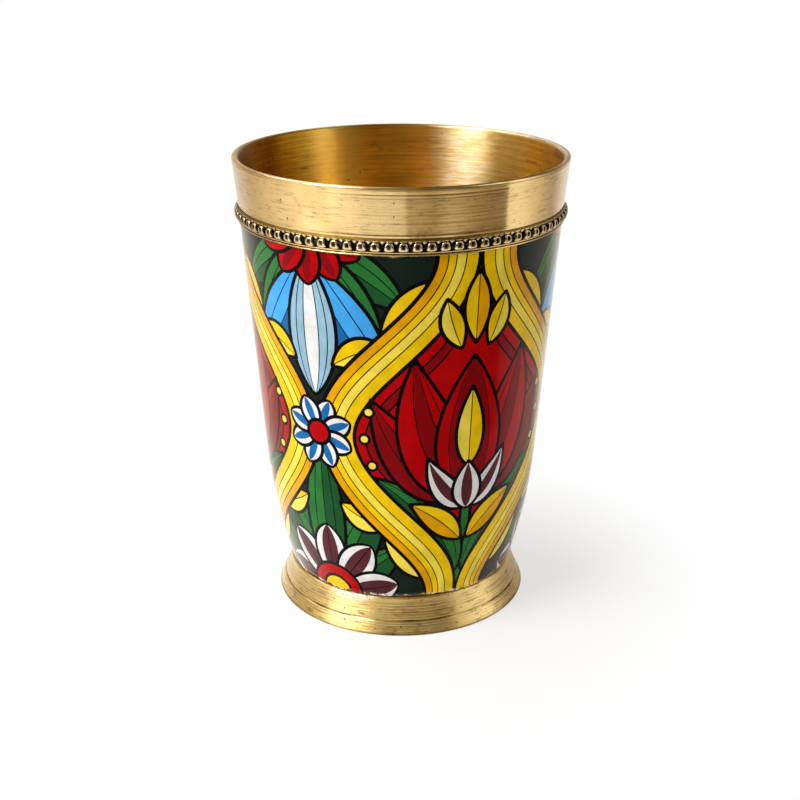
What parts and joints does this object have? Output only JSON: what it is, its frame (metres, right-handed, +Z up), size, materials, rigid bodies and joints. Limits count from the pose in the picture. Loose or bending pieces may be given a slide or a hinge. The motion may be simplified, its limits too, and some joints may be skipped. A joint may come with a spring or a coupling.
{
  "type": "brass tumbler",
  "caption": "Footed brass tumbler: a tapered drinking cup with a plain lip band, a beaded moulding, a printed film sleeve round its wall and a flared hollow foot to stand on.",
  "frame": {"origin": "on the cup's axis, in the plane that the foot stands on", "axes": "+Z up along the cup's axis, from the foot to the mouth; +X and +Y lie in the standing plane, and -Y faces the viewer of the picture"},
  "size_m": [0.0834, 0.0834, 0.1176],
  "materials": {
    "cup_brass": "lathe-brushed round the axis, satin, with small pits and tarnish",
    "printed_film": "glossy printed film in red, yellow, green, blue and white with black outlines",
    "moulding_brass": "polished wire with dark patina where it meets the wall",
    "bead_brass": "polished bead crowns with black patina in the gaps",
    "foot_brass": "turned, with fine rings round the axis and handling marks",
    "brazing_brass": "dull, as flowed in the joint"
  },
  "bodies": {
    "root": {"cup_shell": "cup_brass", "print_sleeve": "printed_film", "upper_bead_rail": "moulding_brass", "beaded_wire": "bead_brass", "lower_bead_rail": "moulding_brass", "foot_ring": "foot_brass", "braze_fillet": "brazing_brass"}
  },
  "joints": []
}
